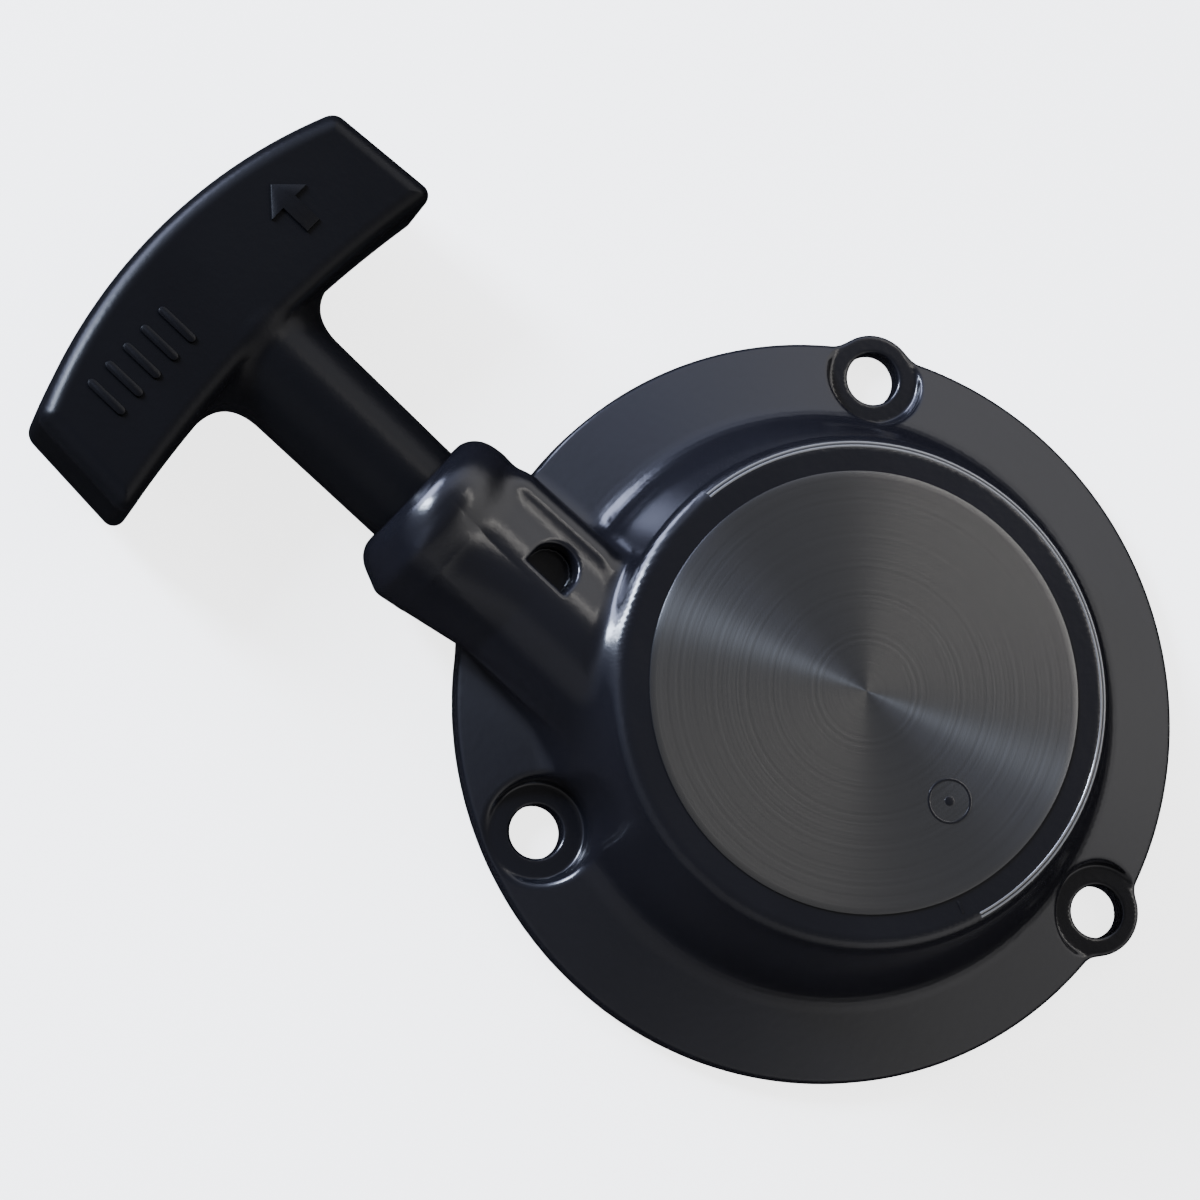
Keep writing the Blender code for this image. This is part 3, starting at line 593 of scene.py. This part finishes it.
def turned_into(bm, profile, centre=(0, 0), steps=192):
    """Adds a closed (radius, z) outline turned about Z."""
    rings = []
    for r, z in profile:
        if r < 1e-6:
            rings.append([bm.verts.new((centre[0], centre[1], z))] * steps)
            continue
        ring = []
        for i in range(steps):
            a = 2 * math.pi * i / steps
            ring.append(bm.verts.new((centre[0] + r * math.cos(a), centre[1] + r * math.sin(a), z)))
        rings.append(ring)
    for low, high in zip(rings, rings[1:] + rings[:1]):
        for i in range(steps):
            j = (i + 1) % steps
            corners = list(dict.fromkeys((low[i], low[j], high[j], high[i])))
            if len(corners) > 2:
                bm.faces.new(corners)


def bar_into(bm, outline, low, high, edge):
    """Adds a flat outline from low to high whose upper edge is rounded off by edge."""
    middle = np.mean(outline, axis=0)
    span = np.ptp(outline, axis=0) / 2
    rings = []
    for inset, z in ((0, low), (0, high - edge), (0.3 * edge, high - 0.3 * edge), (edge, high)):
        shrink = 1 - inset / span
        rings.append([bm.verts.new((*(middle + (np.array(q) - middle) * shrink), z)) for q in outline])
    count = len(outline)
    for under, over in zip(rings, rings[1:]):
        for i in range(count):
            j = (i + 1) % count
            bm.faces.new((under[i], under[j], over[j], over[i]))
    bm.faces.new(rings[-1])
    bm.faces.new(rings[0][::-1])


def make_disc(paint):
    """The turned face of the dome, two thin light beads round its edge that carry a painted highlight, its
    gate mark and a tick.
    """
    bm = bmesh.new()
    edge = [(DISC_R, DISC_Z - 0.12), (DISC_R - 0.05, DISC_Z - 0.03), (DISC_R - 0.15, DISC_Z)]
    faces = [(r, DISC_Z) for r in np.linspace(DISC_R - 1.0, 1.0, 30)]
    turned_into(bm, [(0, RING_Z - 1.0), (DISC_R, RING_Z - 1.0), *edge, *faces, (0, DISC_Z)], steps=256)
    place("disc_face", bm, paint, "case")

    bm = bmesh.new()
    # Two thin light-grey glossy beads along the dome's edge: a painted highlight line; the real case may
    # have no such beads.
    for tilt in (14, 27):
        a = math.radians(tilt)
        r = EDGE_CENTRE[0] + (EDGE_R - 0.12) * math.sin(a)
        z = EDGE_CENTRE[1] + (EDGE_R - 0.12) * math.cos(a)
        turn = np.radians(np.arange(-200, -7.9, 1.5))
        bead = np.stack((r * np.cos(turn), r * np.sin(turn), 0 * turn + z), 1)
        braided(bm, bead, 0.22, sides=8, bulge=0.0)
    place("dome_edge_highlight", bm, EDGE_HIGHLIGHT_PAINT, "case", smooth=60)

    bm = bmesh.new()
    gate = (-19.4, 3.3)
    low = DISC_Z - 0.1
    ring = [(3.1 + 0.22 * math.cos(a), DISC_Z + 0.08 * math.sin(a)) for a in np.linspace(math.pi, 0, 7)]
    turned_into(bm, [(2.88, low), *ring, (3.32, low)], gate, 48)
    dot = [(0.75 * math.sin(a), DISC_Z + 0.08 * math.cos(a)) for a in np.linspace(math.pi / 2, 0, 6)]
    turned_into(bm, [(0, low), (0.75, low), *dot[:-1], (0, DISC_Z + 0.08)], gate, 32)
    a = math.atan2(13.4, -30.3)
    along = np.array((math.cos(a), math.sin(a)))
    across = np.array((-math.sin(a), math.cos(a)))
    spot = 33.4 * along
    tick = [spot + u * along * 0.9 + v * across * 0.16 for u, v in ((-1, -1), (1, -1), (1, 1), (-1, 1))]
    bar_into(bm, tick, RING_Z - 0.3, RING_Z + 0.14, 0.05)
    place("moulding_marks", bm, CASE_BLACK, "case")


def make_grip_marks():
    """Raised ribs on one side of the bar and an arrow along the pull on the other."""
    bm = bmesh.new()
    middle = (WAIST_X + CROWN_X) / 2
    face = ROPE_Z + BAR_HALF
    for i in range(5):
        y = ROPE_Y + 8.0 + 3.6 * i
        outline = []
        for end, turn in ((middle + 2.3, -math.pi / 2), (middle - 3.1, math.pi / 2)):
            for k in range(7):
                a = turn + math.pi * k / 6
                outline.append((end + 0.7 * math.cos(a), y + 0.7 * math.sin(a)))
        bar_into(bm, outline, face - 0.5, face + 0.5, 0.3)
    arrow = ((4.0, 0), (0.4, 3.6), (0.4, 1.3), (-4.4, 1.3), (-4.4, -1.3), (0.4, -1.3), (0.4, -3.6))
    bar_into(bm, [(middle + x, ROPE_Y - 16 + y) for x, y in arrow], face - 0.5, face + 0.5, 0.25)
    place("grip_marks", bm, HANDLE_BLACK, "handle")


def braided(bm, path, r, closed=False, sides=24, bulge=0.09, pitch=6.0):
    """Adds a rope along the path: a tube whose skin swells where its strands cross."""
    path = np.array(path)
    count = len(path)
    if closed:
        ways = np.roll(path, -1, 0) - np.roll(path, 1, 0)
    else:
        ways = np.gradient(path, axis=0)
    ways /= np.linalg.norm(ways, axis=1)[:, None]
    steps = np.linalg.norm(np.diff(path, axis=0), axis=1)
    along = np.concatenate(([0], np.cumsum(steps)))
    if closed:
        whole = along[-1] + np.linalg.norm(path[0] - path[-1])
        pitch = whole / max(round(whole / pitch), 1)
    side = np.cross(ways[0], (0.3, 0.2, 1.0))
    sides_at = []
    for way in ways:
        side = side - way * side.dot(way)
        side /= np.linalg.norm(side)
        sides_at.append(side)
    rings = []
    for centre, way, out, s in zip(path, ways, sides_at, along):
        up = np.cross(way, out)
        ring = []
        for k in range(sides):
            a = 2 * math.pi * k / sides
            skin = math.cos(3 * a + 2 * math.pi * s / pitch) * math.cos(3 * a - 2 * math.pi * s / pitch)
            swell = r * (1 - bulge + bulge * skin)
            ring.append(bm.verts.new(centre + swell * (math.cos(a) * out + math.sin(a) * up)))
        rings.append(ring)
    pairs = list(zip(rings, rings[1:]))
    if closed:
        twist = np.array([(rings[0][k].co - rings[-1][0].co).length for k in range(sides)]).argmin()
        pairs.append((rings[-1], rings[0][twist:] + rings[0][:twist]))
    for low, high in pairs:
        for k in range(sides):
            j = (k + 1) % sides
            bm.faces.new((low[k], low[j], high[j], high[k]))
    if not closed:
        bm.faces.new(rings[0][::-1])
        bm.faces.new(rings[-1])


def make_rope(paint, run_paint):
    """The rope: its wound turns, the run out to the handle, and the two knots."""
    turns = []
    # (radius, z) of each turn, from the core outward
    layers = ((16.9, 10.15), (16.9, 13.6), (20.2, 13.6), (20.2, 10.15), (23.4, 10.15), (23.4, 13.6))
    per_turn = 120
    for i in range(len(layers) * per_turn):
        turn, share = divmod(i / per_turn, 1.0)
        here = np.array(layers[int(turn)])
        after = np.array(layers[min(int(turn) + 1, len(layers) - 1)])
        ease = min(max((share - 0.85) / 0.15, 0), 1)
        r, z = here + (after - here) * ease * ease * (3 - 2 * ease)
        a = math.pi / 2 + 2 * math.pi * share
        turns.append((r * math.cos(a), r * math.sin(a), z))
    bm = bmesh.new()
    braided(bm, turns, 1.68, sides=18)
    place("rope_turns", bm, paint, BODY["wound_rope"], "wound_rope")

    leave_y = 25.2 + 1.75 + 0.3
    points = []
    for t in np.linspace(0, 1, 40):
        points.append((2 + 44 * t, leave_y + (ROPE_Y - leave_y) * t * t * (3 - 2 * t), ROPE_Z))
    points += [(x, ROPE_Y, ROPE_Z) for x in np.arange(47, 105.2, 1.0)]
    bm = bmesh.new()
    braided(bm, points, 1.72, bulge=0.0, sides=32)
    run = place("rope_to_handle", bm, run_paint, None, "rope_run", 60)
    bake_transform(run)

    for node, size, thick in (("handle_knot", 0.9, 1.42), ("reel_knot", 0.52, 0.95)):
        low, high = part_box(node)
        spot = ((np.array(low) + np.array(high)) / 2 - np.array(CRANK)) / MM
        loop = []
        for t in np.linspace(0, 2 * math.pi, 160, endpoint=False):
            across, over = math.sin(t) + 2 * math.sin(2 * t), math.cos(t) - 2 * math.cos(2 * t)
            knot = (across, over, -1.6 * math.sin(3 * t))
            if node == "handle_knot":
                knot = (knot[2], knot[0], knot[1] * 0.9)
            loop.append(spot + size * np.array(knot))
        bm = bmesh.new()
        braided(bm, loop, thick, closed=True, sides=18, pitch=4.0)
        place(f"{node}_tied", bm, paint, BODY[node], node)


def refined(node, paint, edge, smooth=30):
    """A CAD node's own shape with broken edges and smooth round faces."""
    bm = bmesh.new()
    bm.from_mesh(frame["nodes"][node].data)
    bmesh.ops.remove_doubles(bm, verts=bm.verts, dist=0.000002)
    bmesh.ops.dissolve_limit(bm, angle_limit=math.radians(0.5), verts=bm.verts, edges=bm.edges)
    if edge:
        sharp = [e for e in bm.edges if len(e.link_faces) == 2 and e.calc_face_angle(0) > math.radians(40)]
        bmesh.ops.bevel(
            bm, geom=sharp, offset=edge * MM, segments=2, profile=0.5, affect="EDGES", clamp_overlap=True
        )
    bmesh.ops.translate(bm, vec=-CRANK, verts=bm.verts)
    bmesh.ops.scale(bm, vec=(1000, 1000, 1000), verts=bm.verts)
    return place(f"{node}_fine", bm, paint, BODY[node], node, smooth)


# ---------------------------------------------------------------- finishes


def turned_finish(name, colour, roughness):
    """The dome's turned face: gloss drawn out across fine rings."""
    paint = Nodes(name, colour, roughness)
    paint.set(paint.shader, **{"Anisotropic": 0.95, "Anisotropic Rotation": 0.25, "IOR": 2.1})
    tangent = paint.add("ShaderNodeTangent", direction_type="RADIAL", axis="Z")
    paint.link(tangent.outputs["Tangent"], paint.shader.inputs["Tangent"])
    where = paint.add("ShaderNodeTexCoord")
    centred = paint.add("ShaderNodeVectorMath", operation="SUBTRACT")
    paint.link(where.outputs["Object"], centred.inputs[0])
    centred.inputs[1].default_value = (CRANK[0], CRANK[1], DISC_Z * MM)
    radius = paint.add("ShaderNodeVectorMath", operation="LENGTH")
    paint.link(centred.outputs["Vector"], radius.inputs[0])
    rings = paint.add("ShaderNodeTexNoise", noise_dimensions="1D")
    paint.set(rings, Scale=1900.0, Detail=2.0)
    paint.link(radius.outputs["Value"], rings.inputs["W"])
    gloss = paint.ramp(rings.outputs["Fac"], roughness - 0.03, roughness + 0.03)
    paint.link(gloss, paint.shader.inputs["Roughness"])
    mix = paint.add("ShaderNodeMix", data_type="RGBA")
    mix.inputs[6].default_value = (*[c * 0.8 for c in colour], 1)
    mix.inputs[7].default_value = (*[c * 1.2 for c in colour], 1)
    paint.link(rings.outputs["Fac"], mix.inputs[0])
    paint.link(mix.outputs[2], paint.shader.inputs["Base Color"])
    paint.bump(rings.outputs["Fac"], 0.000012)
    return paint


def metal(name, colour, low, high):
    """Bare metal with a fine uneven gloss."""
    scale = 400.0
    paint = Nodes(name, colour, (low + high) / 2, 1.0)
    mottled(paint, colour, 0.12, scale / 3)
    paint.link(paint.ramp(paint.noise(scale), low, high), paint.shader.inputs["Roughness"])
    paint.bump(paint.noise(scale * 3), 0.000004)
    return paint


def rope_finish(name, colour, woven):
    """Braided polyester. Woven adds the crossing strands along a straight run."""
    paint = Nodes(name, colour, 0.82)
    mottled(paint, colour, 0.12, 900.0)
    paint.set(paint.shader, **{"Sheen Weight": 0.3})
    if not woven:
        paint.bump(paint.noise(2500.0), 0.00004)
        return paint
    where = paint.add("ShaderNodeTexCoord")
    axis = paint.add("ShaderNodeVectorMath", operation="SUBTRACT")
    paint.link(where.outputs["Object"], axis.inputs[0])
    axis.inputs[1].default_value = (CRANK[0], CRANK[1] + ROPE_Y * MM, ROPE_Z * MM)
    split = paint.add("ShaderNodeSeparateXYZ")
    paint.link(axis.outputs["Vector"], split.inputs[0])
    around = paint.add("ShaderNodeMath", operation="ARCTAN2")
    paint.link(split.outputs["Z"], around.inputs[0])
    paint.link(split.outputs["Y"], around.inputs[1])
    waves = []
    for sign in (1, -1):
        turn = paint.add("ShaderNodeMath", operation="MULTIPLY")
        paint.link(around.outputs[0], turn.inputs[0])
        turn.inputs[1].default_value = 4.0
        both = paint.add("ShaderNodeMath", operation="MULTIPLY_ADD")
        paint.link(split.outputs["X"], both.inputs[0])
        both.inputs[1].default_value = sign * 2 * math.pi / (5.0 * MM)
        paint.link(turn.outputs[0], both.inputs[2])
        wave = paint.add("ShaderNodeMath", operation="COSINE")
        paint.link(both.outputs[0], wave.inputs[0])
        waves.append(wave)
    cross = paint.add("ShaderNodeMath", operation="MULTIPLY")
    paint.link(waves[0].outputs[0], cross.inputs[0])
    paint.link(waves[1].outputs[0], cross.inputs[1])
    paint.bump(cross.outputs[0], 0.00025)
    return paint


VOXEL = 0.42
CASE_BLACK = plastic("case_black", (0.006, 0.006, 0.008), 0.16, 0.24, 0.00002)
HANDLE_BLACK = plastic("handle_black", (0.004, 0.004, 0.005), 0.26, 0.36, 0.00003)
HANDLE_BLACK.set(HANDLE_BLACK.shader, **{"Specular IOR Level": 0.17})
# Light grey with a high IOR: the paint of the dome-edge beads, a painted highlight rather than a polished
# finish.
EDGE_HIGHLIGHT_PAINT = plastic("painted_edge_highlight", (0.12, 0.12, 0.12), 0.14, 0.2, 0.00001)
EDGE_HIGHLIGHT_PAINT.set(EDGE_HIGHLIGHT_PAINT.shader, IOR=2.5)
NYLON = plastic("reel_nylon", (0.55, 0.53, 0.46), 0.38, 0.5, 0.00002)
STEEL = metal("zinc_steel", (0.55, 0.56, 0.58), 0.22, 0.36)
SPRING = metal("spring_steel", (0.20, 0.22, 0.28), 0.2, 0.32)
BRASS = metal("brass", (0.72, 0.55, 0.25), 0.22, 0.34)
make_camera()
make_studio()
moulded("starter_case", case_field, VOXEL, CASE_BLACK, "case")
moulded("pull_handle", handle_field, VOXEL, HANDLE_BLACK, "handle")
make_disc(turned_finish("turned_black", (0.006, 0.006, 0.0062), 0.25))
make_grip_marks()
ROPE_WHITE = (0.72, 0.71, 0.67)
make_rope(rope_finish("rope_braid", ROPE_WHITE, False), rope_finish("rope_run_braid", ROPE_WHITE, True))
refined("rope_reel", NYLON, 0.2)
for plain in ("ratchet_guide", "pawl_a", "pawl_b", "centre_screw", "pawl_pin_a", "pawl_pin_b", "rope_guide"):
    refined(plain, STEEL, 0.15)
for plain in ("screw_washer", "knot_washer", "spring_cover_plate"):
    refined(plain, STEEL, 0.08)
for plain in ("pawl_spring_a", "pawl_spring_b", "drag_spring"):
    refined(plain, SPRING, 0, 70)
refined("recoil_spring", SPRING, 0, 40)
refined("post_insert", BRASS, 0.1)
